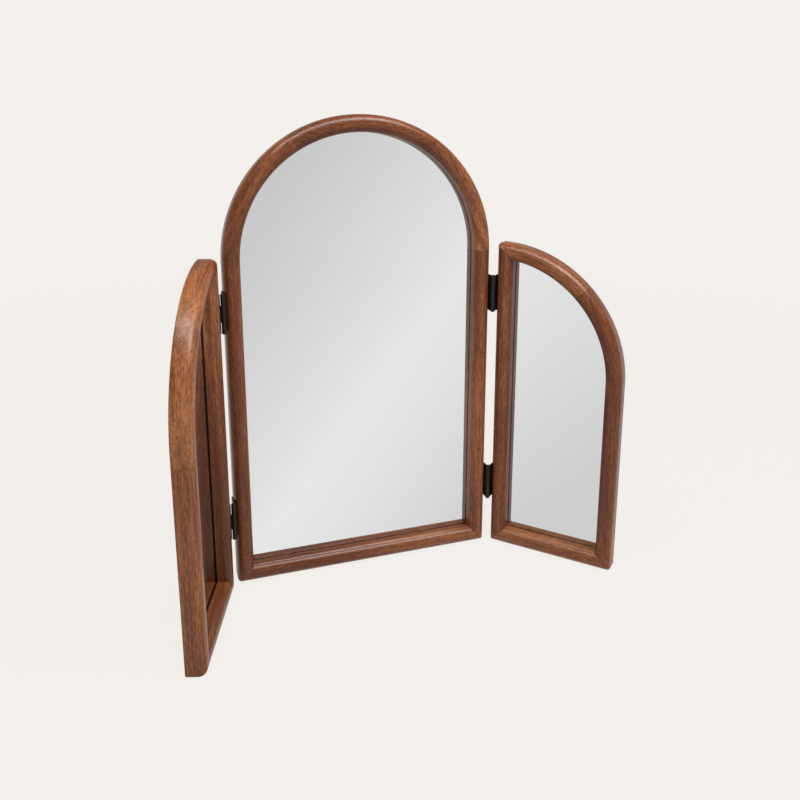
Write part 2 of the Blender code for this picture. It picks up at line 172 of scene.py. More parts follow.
def colour(name, description, default):
    """A colour property, in linear light."""
    return FloatVectorProperty(
        name=name, description=description, default=default, min=0, max=1, size=3, subtype="COLOR"
    )


class WoodSettings(bpy.types.PropertyGroup):
    """The rounded frame members and their wood."""

    outer_round: metres("Outer round", "Radius of the member's outer front edge", 0.0105)
    inner_round: metres("Inner round", "Radius of the member's inner front edge", 0.0095)
    back_round: metres("Back round", "Radius of the member's outer back edge", 0.0015)
    corner_ease: metres("Corner ease", "Radius of the panel's outer corners", 0.0045)
    joint_gap: metres("Joint gap", "Half the width of a glue line", 0.00005)
    dark: colour("Dark grain", "Colour of the dark grain", (0.050, 0.0105, 0.0030))
    middle: colour("Wood", "Colour of most of the wood", (0.132, 0.036, 0.0100))
    light: colour("Light grain", "Colour of the light grain", (0.340, 0.132, 0.050))
    pore: colour("Pores", "Colour of the open pores", (0.030, 0.009, 0.004))
    varnish: FloatProperty(
        name="Varnish", description="Weight of the clear varnish", default=0.21, min=0, max=1,
        subtype="FACTOR",
    )


class MirrorSettings(bpy.types.PropertyGroup):
    """The silvered glasses and their back boards."""

    silver_depth: metres("Silver depth", "How far the silver seems to lie behind the lip", 0.0013)
    board: colour("Back board", "Colour of the back board", (0.066, 0.034, 0.019))


class HingeSettings(bpy.types.PropertyGroup):
    """The butt hinges and all the screws."""

    barrel_radius: metres("Barrel radius", "Outer radius of a knuckle", 0.003)
    pin_radius: metres("Pin radius", "Radius of the hinge pin", 0.0015)
    leaf_thickness: metres("Leaf thickness", "Thickness of a hinge leaf", 0.0015)
    leaf_corner: metres("Leaf corner", "Corner radius of a hinge leaf", 0.002)
    knuckle_height: metres("Middle knuckle", "Height of the moving leaf's knuckle", 0.022)
    pin_head_radius: metres("Pin head radius", "Radius of the pin's head", 0.0022)
    pin_head_height: metres("Pin head height", "Height of the pin's head", 0.0008)
    screw_length: metres("Screw length", "Length of a hinge screw", 0.012)
    screw_head_height: metres("Screw head", "Height of a hinge screw's head", 0.0014)
    screw_head_radius: metres("Screw head radius", "Radius of a hinge screw's head", 0.0028)
    screw_radius: metres("Screw radius", "Radius of a hinge screw's shank", 0.0013)
    board_screw_length: metres("Board screw length", "Length of a board screw", 0.010)
    board_screw_head_height: metres("Board screw head", "Height of a board screw's head", 0.0012)
    board_screw_head_radius: metres(
        "Board screw head radius", "Radius of a board screw's head", 0.0024
    )
    board_screw_radius: metres("Board screw radius", "Radius of a board screw's shank", 0.0011)
    metal: colour("Hinge metal", "Colour of the blackened metal", (0.010, 0.010, 0.011))
    steel: colour("Screw steel", "Colour of the plated screws", (0.42, 0.42, 0.40))


class StageSettings(bpy.types.PropertyGroup):
    """The floor, the lights and the camera."""

    backdrop: colour("Backdrop", "Colour of the floor and the background", (0.905, 0.871, 0.838))
    lens: FloatProperty(
        name="Lens", description="Focal length in mm", default=36.0, min=10, unit="CAMERA"
    )


# ---------------------------------------------------------------- meshes
SMOOTH_ANGLE = radians(30)  # an edge that bends more than this stays sharp


def add_piece(name, points, faces, attributes=None):
    """A named object from an (n, 3) array of points and a list of faces.

    attributes maps an attribute's name to one vector for each point.
    """
    mesh = bpy.data.meshes.new(name)
    mesh.from_pydata(np.asarray(points, float).reshape(-1, 3).tolist(), [], faces)
    for word, values in (attributes or {}).items():
        layer = mesh.attributes.new(word, "FLOAT_VECTOR", "POINT")
        layer.data.foreach_set("vector", np.asarray(values, np.float32).ravel())
    shape = bmesh.new()
    shape.from_mesh(mesh)
    bmesh.ops.recalc_face_normals(shape, faces=shape.faces)
    shape.to_mesh(mesh)
    shape.free()
    mesh.shade_smooth()
    mesh.set_sharp_from_angle(angle=SMOOTH_ANGLE)
    piece = bpy.data.objects.new(name, mesh)
    bpy.context.scene.collection.objects.link(piece)
    return piece


def grid_faces(rows, columns, close_rows=False):
    """Quads of a grid closed round its columns. Its point (i, j) is number i * columns + j."""
    i = np.arange(rows if close_rows else rows - 1)[:, None]
    j = np.arange(columns)[None, :]
    i_next, j_next = (i + 1) % rows, (j + 1) % columns
    corners = [i * columns + j, i * columns + j_next, i_next * columns + j_next,
               i_next * columns + j]
    return np.stack(corners, -1).reshape(-1, 4).tolist()


def tube_faces(rows, columns):
    """A grid closed round its columns, with one flat face at each end."""
    start = list(range(columns))
    end = list(range((rows - 1) * columns, rows * columns))
    return [*grid_faces(rows, columns), start[::-1], end]


def arc_points(centre, radius, first, last, steps):
    """Points (centre + radius * (cos a, sin a)) for steps + 1 even angles a."""
    angles = np.linspace(first, last, steps + 1)
    return np.stack([centre[0] + radius * np.cos(angles), centre[1] + radius * np.sin(angles)], -1)


# ---------------------------------------------------------------- frame members
ROUND_STEPS = 14  # faces round each front edge of a member
BACK_STEPS = 4
CORNER_STEPS = 8
CORNER_RUN = 0.030  # stretch of a member beside a corner, in which its lines turn
ARCH_STEP = radians(1.5)  # between stations along an arch
STRAIGHT_STEP = 0.040  # between stations along a straight run
ARRIS = 0.0004  # chamfer of the lip beside the glass and of the rebate's mouth
NO_RADIUS = 1e-9  # stands in for a radius of zero in a division
BOARD_SPACING = (0.37, 0.11, 0.83)  # steps through the log from one board to the next
BOARD_LAYERS = 5


def section(wood):
    """The member's section as arrays of insets from the outer edge and depths from the back.

    Two quarter rounds meet at the crown, the inner side runs down to the glass, and the back
    has a step for the glass and one for the back board.
    """
    outer, inner, back = wood.outer_round, wood.inner_round, wood.back_round
    points = np.vstack([
        arc_points((outer, MEMBER_DEPTH - outer), outer, pi, pi / 2, ROUND_STEPS),
        arc_points((MEMBER_WIDTH - inner, MEMBER_DEPTH - inner), inner, pi / 2, 0, ROUND_STEPS),
        [
            (MEMBER_WIDTH, GLASS_STEP + ARRIS),
            (MEMBER_WIDTH - ARRIS, GLASS_STEP),
            (GLASS_INSET, GLASS_STEP),
            (GLASS_INSET, BOARD_STEP),
            (BOARD_INSET, BOARD_STEP),
            (BOARD_INSET, ARRIS),
            (BOARD_INSET - ARRIS, 0),
        ],
        arc_points((back, back), back, -pi / 2, -pi, BACK_STEPS),
    ])
    return points[:, 0], points[:, 1]


def eased(inset, share, room, ease, turn):
    """Lines that run straight beside an edge, then turn away from it round an eased corner.

    A line at this inset has room to run, then follows an arc of radius (ease - inset), if
    that is positive, through the angle turn. share is how much of its whole length is gone.
    Returns how far it has gone along the edge and how far in from the edge it is.
    """
    radius = np.maximum(ease - inset, 0)
    gone = share * (room + radius * turn)
    angle = np.maximum(gone - room, 0) / np.maximum(radius, NO_RADIUS) * (radius > 0)
    return np.minimum(gone, room) + radius * np.sin(angle), inset + radius * (1 - np.cos(angle))


def corner_shares(gap):
    """Shares of a corner run, close together where the corner turns, up to the glue line."""
    return np.append(np.linspace(0, 1, CORNER_STEPS + 1)[:-1] ** 0.5, 1 - gap / CORNER_RUN)


def bottom_corner(inset, wood):
    """A run down to a bottom corner's mitre, as (height, distance from the side) arrays."""
    share = corner_shares(wood.joint_gap)[:, None]
    room = CORNER_RUN - np.maximum(inset, wood.corner_ease)
    along, inward = eased(inset[None, :], share, room[None, :], wood.corner_ease, pi / 4)
    return CORNER_RUN - along, inward


def straight_run(inset, low, high):
    """Even stations between two heights, as (height, distance from the side) arrays."""
    steps = max(1, round((high - low) / STRAIGHT_STEP))
    height = np.linspace(low, high, steps + 1)[:, None]
    return height + 0 * inset, inset + 0 * height


def stile_path(inset, top, wood):
    """A stile from its bottom mitre up to a square end: (across, height) arrays."""
    height, across = bottom_corner(inset, wood)
    upper, upper_across = straight_run(inset, CORNER_RUN, top - wood.joint_gap)
    return np.vstack([across[:0:-1], upper_across]), np.vstack([height[:0:-1], upper])


def rail_path(inset, start, end, wood):
    """A bottom rail from mitre to mitre: (across, height) arrays."""
    along, height = bottom_corner(inset, wood)
    middle, middle_height = straight_run(inset, CORNER_RUN, end - start - CORNER_RUN)
    across = np.vstack([along[:0:-1], middle[:-1], (end - start) - along])
    return across + start, np.vstack([height[:0:-1], middle_height[:-1], height])


def arch_path(inset, spring, radius, first, last, wood, tail=0.0):
    """An arch blank: the circle of (radius - inset) about (0, spring), between two angles.

    A tail runs straight down from the circle's end at the spring line.
    """
    rho = radius - inset
    steps = max(2, round((last - first) / ARCH_STEP))
    share = np.linspace(0, 1, steps + 1)[:, None]
    begin = first + (0 if tail else 1) * wood.joint_gap / rho
    angle = begin + share * (last - wood.joint_gap / rho - begin)
    across, height = rho * np.cos(angle), spring + rho * np.sin(angle)
    if tail:
        foot = spring - tail + wood.joint_gap
        across = np.vstack([rho[None, :], across])
        height = np.vstack([0 * rho[None, :] + foot, height])
    return across, height


def wing_top(ease):
    """Centre of the eased top corner of a wing, and its two end angles.

    The centre is as far from the hinge edge as from the arch. The corner's arc runs from
    where it touches the arch to the mitre, halfway round to the hinge edge.
    """
    height = WING_SPRING + ((WING_WIDTH - ease) ** 2 - ease**2) ** 0.5
    touch = np.arctan2(height - WING_SPRING, ease)
    return height, touch, (touch + pi) / 2


def mitre_height(inset):
    """Height at which the line of this inset beside the hinge edge meets that of the arch."""
    return WING_SPRING + np.sqrt((WING_WIDTH - inset) ** 2 - inset**2)


def hinge_stile_path(inset, wood):
    """A wing's hinge stile, from its bottom mitre to the mitre under the arch."""
    height, across = bottom_corner(inset, wood)
    _, _, mitre = wing_top(wood.corner_ease)
    start = mitre_height(MEMBER_WIDTH) - CORNER_RUN / 2
    middle, middle_across = straight_run(inset, CORNER_RUN, start)
    room = mitre_height(np.maximum(inset, wood.corner_ease)) - start
    share = corner_shares(wood.joint_gap)[:, None]
    along, inward = eased(inset[None, :], share, room[None, :], wood.corner_ease, pi - mitre)
    return (
        np.vstack([across[:0:-1], middle_across[:-1], inward]),
        np.vstack([height[:0:-1], middle[:-1], start + along]),
    )


def upper_arch_path(inset, first, wood):
    """A wing's upper arch blank, from its joint to the mitre over the hinge stile.

    Each line follows its circle about the arch's centre. A line inside the corner ease then
    turns round the corner's own centre.
    """
    ease = wood.corner_ease
    centre_height, touch, mitre = wing_top(ease)
    rho = WING_WIDTH - inset
    radius = np.maximum(ease - inset, 0)
    last = np.where(radius > 0, touch, np.arccos(np.minimum(inset / rho, 1)))
    begin = first + wood.joint_gap / rho
    on_arch = rho * (last - begin)
    whole = on_arch + radius * (mitre - touch)
    steps = round((pi / 2 - first) / ARCH_STEP)
    near_end = 1 - 2 * ease / WING_WIDTH
    share = np.append(
        np.linspace(0, near_end, steps + 1), np.linspace(near_end, 1, CORNER_STEPS + 1)[1:]
    )
    gone = share[:, None] * (whole - wood.joint_gap)
    angle = begin + np.minimum(gone, on_arch) / rho
    turned = touch + np.maximum(gone - on_arch, 0) / np.maximum(radius, NO_RADIUS) * (radius > 0)
    round_it = (gone > on_arch) & (radius > 0)
    across = np.where(round_it, ease + radius * np.cos(turned), rho * np.cos(angle))
    height = np.where(round_it, centre_height + radius * np.sin(turned),
                      WING_SPRING + rho * np.sin(angle))
    return across, height


def add_member(node, panel, path, depth, grain_angle, board):
    """One frame member, a grid of its section carried along its path.

    Its grain attribute holds each point's place in the board that it was cut from: across
    the grain, through the board, and along the grain, which runs at grain_angle to the
    horizontal. board shifts that place, so that no two members share their figure.
    """
    across, height = path
    rows, columns = across.shape
    points = panel.world(across, depth[None, :], height)
    along = across * cos(grain_angle) + height * sin(grain_angle)
    beside = height * cos(grain_angle) - across * sin(grain_angle)
    grain = np.stack([beside, 0 * across + depth, along], -1) + np.array(board)
    attributes = {"grain": grain.reshape(-1, 3)}
    piece = add_piece(node + "_wood", points, tube_faces(rows, columns), attributes)
    piece.data.materials.append(bpy.data.materials["walnut_varnished"])
    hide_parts(node)
    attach(piece, panel.body)


def board_place(number):
    """A place in the log for board number, far from the other boards'."""
    across, through, along = BOARD_SPACING
    return across * number, through * (number % BOARD_LAYERS), along * number


# ---------------------------------------------------------------- shader building
class Value:
    """A shader socket or number that adds Math nodes when it is used in an expression."""

    def __init__(self, graph, source):
        self.graph = graph
        self.source = source

    def math(self, operation, *others, clamp=False):
        """The value that a Math node gives for this one and the others."""
        inputs = [self.source, *(getattr(o, "source", o) for o in others)]
        node = self.graph.node("Math", {"operation": operation, "use_clamp": clamp}, inputs)
        return Value(self.graph, node.outputs[0])

    def reflected(self, operation, other):
        """The same with the other value first."""
        return Value(self.graph, other).math(operation, self)

    def __add__(self, other):
        return self.math("ADD", other)

    def __radd__(self, other):
        return self.reflected("ADD", other)

    def __sub__(self, other):
        return self.math("SUBTRACT", other)

    def __rsub__(self, other):
        return self.reflected("SUBTRACT", other)

    def __mul__(self, other):
        return self.math("MULTIPLY", other)

    def __rmul__(self, other):
        return self.reflected("MULTIPLY", other)

    def __truediv__(self, other):
        return self.math("DIVIDE", other)

    def __rtruediv__(self, other):
        return self.reflected("DIVIDE", other)

    def clamped(self):
        """The value held between 0 and 1."""
        return self.math("ADD", 0.0, clamp=True)

    def between(self, low, high):
        """0 below low and 1 above high, straight in between."""
        return ((self - low) / (high - low)).clamped()


class Graph:
    """The node tree of a material or a world, and the shader that its values feed."""

    def __init__(self, owner, shader):
        owner.use_nodes = True
        self.owner = owner
        self.tree = owner.node_tree
        self.shader = self.tree.nodes[shader]

    def node(self, kind, settings=None, inputs=()):
        """A node of this kind with its settings, then its inputs by place or by name."""
        node = self.tree.nodes.new("ShaderNode" + kind)
        for setting, value in (settings or {}).items():
            if setting == "stops":
                self.set_stops(node.color_ramp, value)
            elif setting == "interpolation":
                node.color_ramp.interpolation = value
            else:
                setattr(node, setting, value)
        pairs = inputs.items() if isinstance(inputs, dict) else enumerate(inputs)
        for place, value in pairs:
            value = getattr(value, "source", value)
            if isinstance(value, bpy.types.NodeSocket):
                self.tree.links.new(value, node.inputs[place])
            elif value is not None:
                node.inputs[place].default_value = value
        return node

    @staticmethod
    def set_stops(ramp, stops):
        """Gives a colour ramp these (position, colour) stops."""
        while len(ramp.elements) < len(stops):
            ramp.elements.new(1.0)
        for element, (position, shade) in zip(ramp.elements, stops):
            element.position = position
            element.color = (*shade, 1)

    def link(self, value, socket):
        """Feeds a value to a socket of the shader."""
        self.tree.links.new(getattr(value, "source", value), self.shader.inputs[socket])

    def place(self):
        """The surface's place in its own object, in metres."""
        return self.node("TexCoord").outputs["Object"]

    def attribute(self, name):
        """A vector that the mesh keeps at each of its points."""
        return self.node("Attribute", {"attribute_name": name}).outputs["Vector"]

    def part(self, vector, axis):
        """One of a vector's three parts."""
        return Value(self, self.node("SeparateXYZ", {}, [vector]).outputs[axis])

    def scaled(self, vector, scale):
        """The vector with each part times its scale."""
        return self.node("VectorMath", {"operation": "MULTIPLY"}, [vector, scale]).outputs[0]

    def shifted(self, vector, shift):
        """The vector plus a shift."""
        return self.node("VectorMath", {"operation": "ADD"}, [vector, shift]).outputs[0]

    def noise(self, vector, scale=1.0, detail=2.0, roughness=0.5):
        """Noise at a vector, with 0.5 as its middle."""
        inputs = {"Vector": vector, "Scale": scale, "Detail": detail, "Roughness": roughness}
        return Value(self, self.node("TexNoise", {}, inputs).outputs[0])

    def ramp(self, value, stops, interpolation="LINEAR"):
        """The colour that a ramp of (position, colour) stops gives for a value."""
        settings = {"interpolation": interpolation, "stops": stops}
        return self.node("ValToRGB", settings, [value]).outputs[0]

    def mix(self, share, first, second):
        """Colour first turned into colour second by this share."""
        inputs = {0: share, 6: first, 7: second}
        return self.node("Mix", {"data_type": "RGBA"}, inputs).outputs[2]

    def bump(self, height, distance, strength):
        """Tilts the surface as if it rose by this height, in units of the distance."""
        inputs = {"Strength": strength, "Distance": distance, "Height": height}
        self.link(self.node("Bump", {}, inputs).outputs[0], "Normal")


def material_graph(name, shown, **constants):
    """The graph of a new material, shown in solid view in one colour.

    constants are values of the shader's own sockets, with _ for a space in a name.
    """
    graph = Graph(bpy.data.materials.new(name), "Principled BSDF")
    graph.owner.diffuse_color = rgba(shown)
    for socket, value in constants.items():
        graph.shader.inputs[socket.replace("_", " ")].default_value = value
    return graph


def rgba(shade):
    """A colour with full alpha."""
    return (*shade, 1.0)


# How fast each layer of the wood's figure changes: across, through and along the board.
TONE_SCALE = (7, 7, 2.2)
SWAY_SCALE = (18, 18, 5)
STREAK_SCALE = (150, 150, 6)
BAND_SCALE = (430, 430, 16)
FIBRE_SCALE = (1300, 1300, 110)
PORE_SCALE = (1100, 1100, 130)
# How much each layer counts in the figure.
TONE_SHARE, STREAK_SHARE, BAND_SHARE, FIBRE_SHARE = 1.0, 0.45, 0.35, 0.75
PORE_EDGES = (0.57, 0.70)  # noise at which a pore starts and is fully open
PORE_DARKNESS = 0.6
VARNISH_ROUGHNESS = 0.24
WOOD_ROUGHNESS = 0.37
GRAIN_DEPTH = 0.00012


def walnut_material(wood):
    """Satin-varnished reddish walnut, figured along each board's own grain.

    Broad streaks and growth bands run along the board, fine fibres and short open pores lie
    over them, and each board has its own tone.
    """
    graph = material_graph("walnut_varnished", wood.middle, Coat_Weight=wood.varnish,
                           Coat_Roughness=VARNISH_ROUGHNESS, Specular_IOR_Level=0.22)
    grain = graph.attribute("grain")
    sway = graph.noise(graph.scaled(grain, SWAY_SCALE), detail=2) - 0.5
    shift = graph.node("CombineXYZ", {}, [sway * 0.006, sway * 0.004, 0.0]).outputs[0]
    swayed = graph.shifted(grain, shift)
    tone = graph.noise(graph.scaled(grain, TONE_SCALE), detail=1)
    streaks = graph.noise(graph.scaled(swayed, STREAK_SCALE), detail=3, roughness=0.55)
    bands = graph.noise(graph.scaled(swayed, BAND_SCALE), detail=2, roughness=0.6)
    fibres = graph.noise(graph.scaled(swayed, FIBRE_SCALE), detail=2, roughness=0.65)
    pores = graph.noise(graph.scaled(swayed, PORE_SCALE), detail=1).between(*PORE_EDGES)
    figure = (tone - 0.5) * TONE_SHARE + (streaks - 0.5) * STREAK_SHARE
    figure = figure + (bands - 0.5) * BAND_SHARE + (fibres - 0.5) * FIBRE_SHARE + 0.5
    shade = graph.ramp(figure, [(0.20, wood.dark), (0.50, wood.middle), (0.82, wood.light)])
    graph.link(graph.mix(pores * PORE_DARKNESS, shade, rgba(wood.pore)), "Base Color")
    roughness = WOOD_ROUGHNESS + (fibres - 0.5) * 0.22 + pores * 0.12
    graph.link(roughness.clamped(), "Roughness")
    graph.bump(fibres * 0.4 - pores, GRAIN_DEPTH, 0.35)
    return graph.owner


# Painted reflection: grey of the silver at each place of a panel's tone, from its top left to its
# lower right. It paints a soft diagonal gradient of reflected light into the silver's colour.
SILVER_PAINTED_REFLECTION_GREYS = (
    (0.0, 0.60), (0.20, 0.686), (0.50, 0.86), (0.58, 0.92), (0.70, 0.875), (0.87, 0.78),
    (1.0, 0.71),
)
SILVER_COOLNESS = 0.037  # how far its red lies below the grey and its blue above it


def silver_painted_reflection_material():
    """Silvered glass with a painted reflection. Its grey is a little deeper at the top left and
    the lower right, a diagonal gradient of reflected light painted into its base colour.
    """
    graph = material_graph("silvered_glass", (0.8, 0.8, 0.8), Metallic=1.0, Roughness=0.01)
    stops = [(place, ((1 - SILVER_COOLNESS) * grey, grey, (1 + SILVER_COOLNESS) * grey))
             for place, grey in SILVER_PAINTED_REFLECTION_GREYS]
    # painted reflection: each point's tone picks its grey from the painted gradient
    graph.link(graph.ramp(graph.part(graph.attribute("tone"), 0), stops), "Base Color")
    return graph.owner


def board_material(settings):
    """Dark stained hardboard with fine fibres and a faint press screen."""
    graph = material_graph("back_board_brown", settings.board)
    place = graph.place()
    mottle = graph.noise(place, scale=60, detail=4, roughness=0.7)
    flecks = graph.noise(place, scale=900, detail=2, roughness=0.7)
    light = tuple(1.7 * part for part in settings.board)
    share = (mottle - 0.5) * 1.4 + (flecks - 0.5) * 0.9 + 0.35
    graph.link(graph.mix(share, rgba(settings.board), rgba(light)), "Base Color")
    graph.link((0.72 + (mottle - 0.5) * 0.3).clamped(), "Roughness")
    graph.bump(flecks, 0.0002, 0.4)
    return graph.owner


def metal_material(name, shade, roughness, metallic, speckle):
    """Metal with a fine uneven finish: its roughness and its colour wander a little."""
    graph = material_graph(name, shade, Metallic=metallic)
    place = graph.place()
    cloud = graph.noise(place, scale=260, detail=3, roughness=0.6)
    dust = graph.noise(place, scale=2600, detail=2, roughness=0.7)
    light = tuple(min(1.0, part * (1 + speckle)) for part in shade)
    graph.link(graph.mix(cloud, rgba(shade), rgba(light)), "Base Color")
    graph.link((roughness + (cloud - 0.5) * 0.25 + (dust - 0.5) * 0.15).clamped(), "Roughness")
    graph.bump(dust, 0.00005, 0.5)
    return graph.owner


# ---------------------------------------------------------------- glasses
# Shares of a panel's painted reflection tone that its width and its height give, and where a
# wing's tone starts.
CENTRE_REFLECTION_ACROSS, CENTRE_REFLECTION_DOWN = 0.42, 0.58
WING_REFLECTION_START, WING_REFLECTION_ACROSS, WING_REFLECTION_DOWN = 0.58, 0.15, 0.42


def glass_outline(panel, inset):
    """Outline of a panel's glass at an inset, as (across, height) arrays.

    It has a straight-sided foot, and an arch of the circle that is that inset inside the
    frame's.
    """
    if panel is CENTRE:
        radius, spring, top = PANEL_WIDTH / 2 - inset, SPRING_HEIGHT, pi
        foot = [(-radius, inset), (radius, inset)]
    else:
        radius, spring = WING_WIDTH - inset, WING_SPRING
        top = float(np.arccos(inset / radius))
        foot = [(inset, inset), (radius, inset)]
    arch = arc_points((0, spring), radius, 0, top, round(top / ARCH_STEP))
    points = np.vstack([foot, arch])
    return points[:, 0], points[:, 1]


def painted_reflection_tone(panel, across, height):
    """Place of each point in the painted reflection: 0 at the top left of the centre panel and 1
    at its lower right.

    It is a share of the way across the panel plus a share of the way down it.
    """
    if panel is CENTRE:
        right, down = across / PANEL_WIDTH + 0.5, 1 - height / CAD_BOX[1].z
        return CENTRE_REFLECTION_ACROSS * right + CENTRE_REFLECTION_DOWN * down
    right, down = across / WING_WIDTH, 1 - height / WING_HEIGHT
    return WING_REFLECTION_START + WING_REFLECTION_ACROSS * right + WING_REFLECTION_DOWN * down


def add_glass(panel, settings):
    """A glass whose face is the silver, seen as deep behind the lip as the glass puts it."""
    inset = GLASS_INSET + FIT_GAP
    across, height = glass_outline(panel, inset)
    # tone places each point in the silver's painted reflection gradient
    tone = painted_reflection_tone(panel, across, height)
    depths = (BOARD_STEP, GLASS_STEP - settings.silver_depth)
    points = np.vstack([panel.world(across, depth, height) for depth in depths])
    painted_reflection_tones = np.tile(np.stack([tone, 0 * tone, 0 * tone], -1), (len(depths), 1))
    faces = tube_faces(len(depths), len(across))
    piece = add_piece(f"{panel.word}_silvered_glass", points, faces, {"tone": painted_reflection_tones})
    piece.data.materials.append(bpy.data.materials["silvered_glass"])
    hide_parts(f"{panel.word}_mirror")
    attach(piece, panel.body)


# ---------------------------------------------------------------- hinges and screws
LATHE_SIDES = 40  # faces round a turned part
PLATE_EASE = 0.0002  # rounding of a leaf's edges and a knuckle's ends
TONGUE_START = 0.0021  # behind the axis, where the leaf leaves the knuckle clear of the bore
PLATE_CORNER_STEPS = 6
PIN_DOME = pi / 2 * 0.93  # angle of the pin head's dome that is kept, up to its flat top
PIN_DOME_STEPS = 6
SCREW_TIP = 0.1  # tip's radius, as a share of the shank's
SCREW_TAPER = 1.6  # length of the tapered tip, in shank radii
SCREW_RIM = 0.97  # radius of the flat top, as a share of the head's
SCREW_RIM_DROP = 0.08  # how far the head's edge lies below its top, as a share of its height
SCREW_RINGS = (0.9, 0.75, 0.62, 0.5, 0.4, 0.3, 0.2, 0.1, 0.03)  # of the top, as shares of it
RECESS_ARM = 0.16  # half width of an arm of the recess, as a share of the head's radius
RECESS_DEPTH = 0.55  # as a share of the head's height


def join(parts):
    """One (points, faces) of several, each a closed surface of its own."""
    points, faces, first = [], [], 0
    for part_points, part_faces in parts:
        part_points = np.asarray(part_points, float).reshape(-1, 3)
        points.append(part_points)
        faces += [[first + corner for corner in face] for face in part_faces]
        first += len(part_points)
    return np.vstack(points), faces


def turned_part(profile, ring=False):
    """(points, faces) of a profile of (radius, height) pairs turned about the upright axis.

    A ring joins its last pair to its first. Otherwise both ends close with a flat face.
    """
    angles = np.linspace(0, 2 * pi, LATHE_SIDES, endpoint=False)
    radius, height = np.array(profile, float).T[:, :, None]
    points = np.stack(
        [radius * np.cos(angles), radius * np.sin(angles), height + 0 * angles], -1
    )
    size = len(profile), LATHE_SIDES
    faces = grid_faces(*size, close_rows=True) if ring else tube_faces(*size)
    return points.reshape(-1, 3), faces


def plate_part(low, high, thin_low, thin_high, corner):
    """(points, faces) of a plate: an eased slab whose back two corners are rounded.

    low and high are (back, height) pairs, and the slab lies between thin_low and thin_high.
    """
    turns = np.linspace(0, pi / 2, PLATE_CORNER_STEPS + 1)
    back = high[0] - corner
    outline = np.vstack([
        [(low[0], high[1]), (low[0], low[1])],
        np.stack([back + corner * np.sin(turns), low[1] + corner * (1 - np.cos(turns))], -1),
        np.stack([back + corner * np.cos(turns), high[1] - corner * (1 - np.sin(turns))], -1),
    ])
    centre = (np.array(low) + np.array(high)) / 2
    half = (np.array(high) - np.array(low)) / 2
    shrunk = centre + (outline - centre) * (1 - PLATE_EASE / half)
    layers = [(shrunk, thin_low), (outline, thin_low + PLATE_EASE),
              (outline, thin_high - PLATE_EASE), (shrunk, thin_high)]
    points = [np.column_stack([np.full(len(o), x), o]) for o, x in layers]
    return np.vstack(points), tube_faces(len(layers), len(outline))


def knuckle_part(radius, bore, low, high):
    """(points, faces) of a knuckle, a ring with eased ends round the pin's bore."""
    ease = PLATE_EASE
    profile = [(bore, low), (radius - ease, low), (radius, low + ease),
               (radius, high - ease), (radius - ease, high), (bore, high)]
    return turned_part(profile, ring=True)


def leaf_parts(settings, knuckles):
    """(points, faces) of a leaf that stands on the positive side of its axis.

    Its plate starts behind the barrel, and a tongue joins it to each knuckle.
    """
    inner = LEAF_OUTER - settings.leaf_thickness
    start = settings.barrel_radius + 2 * PLATE_EASE
    tongue_end = start + 2 * PLATE_EASE
    half = HINGE_HEIGHT / 2
    bore = settings.pin_radius + FIT_GAP
    low, high = (start, -half), (LEAF_EDGE, half)
    parts = [plate_part(low, high, inner, LEAF_OUTER, settings.leaf_corner)]
    for bottom, top in knuckles:
        parts.append(knuckle_part(settings.barrel_radius, bore, bottom, top))
        low, high = (TONGUE_START, bottom + PLATE_EASE), (tongue_end, top - PLATE_EASE)
        parts.append(plate_part(low, high, inner, LEAF_OUTER, PLATE_EASE / 2))
    return join(parts)


def pin_part(settings):
    """(points, faces) of the hinge pin, with a low domed head at each end."""
    half = HINGE_HEIGHT / 2 + FIT_GAP
    rise, head = settings.pin_head_height, settings.pin_head_radius
    turns = np.linspace(0, PIN_DOME, PIN_DOME_STEPS + 1)
    dome = [(head * cos(turn), half + rise * sin(turn)) for turn in turns]
    foot = [(radius, -height) for radius, height in reversed(dome)]
    shank = [(settings.pin_radius, -half), (settings.pin_radius, half)]
    return turned_part([*foot, *shank, *dome])


def screw_part(length, head_height, head_radius, radius):
    """(points, faces) of a countersunk screw with a cross recess, its head flush with Z = 0.

    The recess is deepest in the middle: a point's depth is that of the nearer arm, and an
    arm's depth falls off across its own width and towards its end.
    """
    rim = head_radius * SCREW_RIM
    profile = [
        (radius * SCREW_TIP, -length),
        (radius, -length + SCREW_TAPER * radius),
        (radius, -head_height),
        (head_radius, -head_height * SCREW_RIM_DROP),
        (rim, 0),
        *((rim * share, 0) for share in SCREW_RINGS),
    ]
    points, faces = turned_part(profile)
    on_top = points[:, 2] == 0
    reach = np.hypot(points[:, 0], points[:, 1]) / head_radius
    arm = head_radius * RECESS_ARM
    across = np.minimum(abs(points[:, 0]), abs(points[:, 1])) / arm
    depth = np.clip(1.5 - across, 0, 1) * np.clip(3.2 - 5 * reach, 0, 1)
    points[:, 2] -= on_top * depth * head_height * RECESS_DEPTH
    return points, faces


def carried(points, panel, origin, right, up, out):
    """Points of a part given in (right, up, out), set at origin beside a panel's hinge axis."""
    right, up, out = (np.array(axis, float) for axis in (right, up, out))
    local = np.array(origin) + points[:, :1] * right + points[:, 1:2] * up + points[:, 2:] * out
    return panel.turned(*local.T)


def add_metal(node, panel, points, faces, finish):
    """One metal piece in its node's place."""
    piece = add_piece(node + "_part", points, faces)
    piece.data.materials.append(bpy.data.materials[finish])
    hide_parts(node)
    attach(piece, panel.body)


def add_screw(node, panel, sizes, origin, right, up, out, finish):
    """One screw of these sizes, with its head at origin and facing out."""
    points, faces = screw_part(*sizes)
    placed = carried(points, panel, origin, right, up, out)
    add_metal(node, panel, placed, faces, finish)


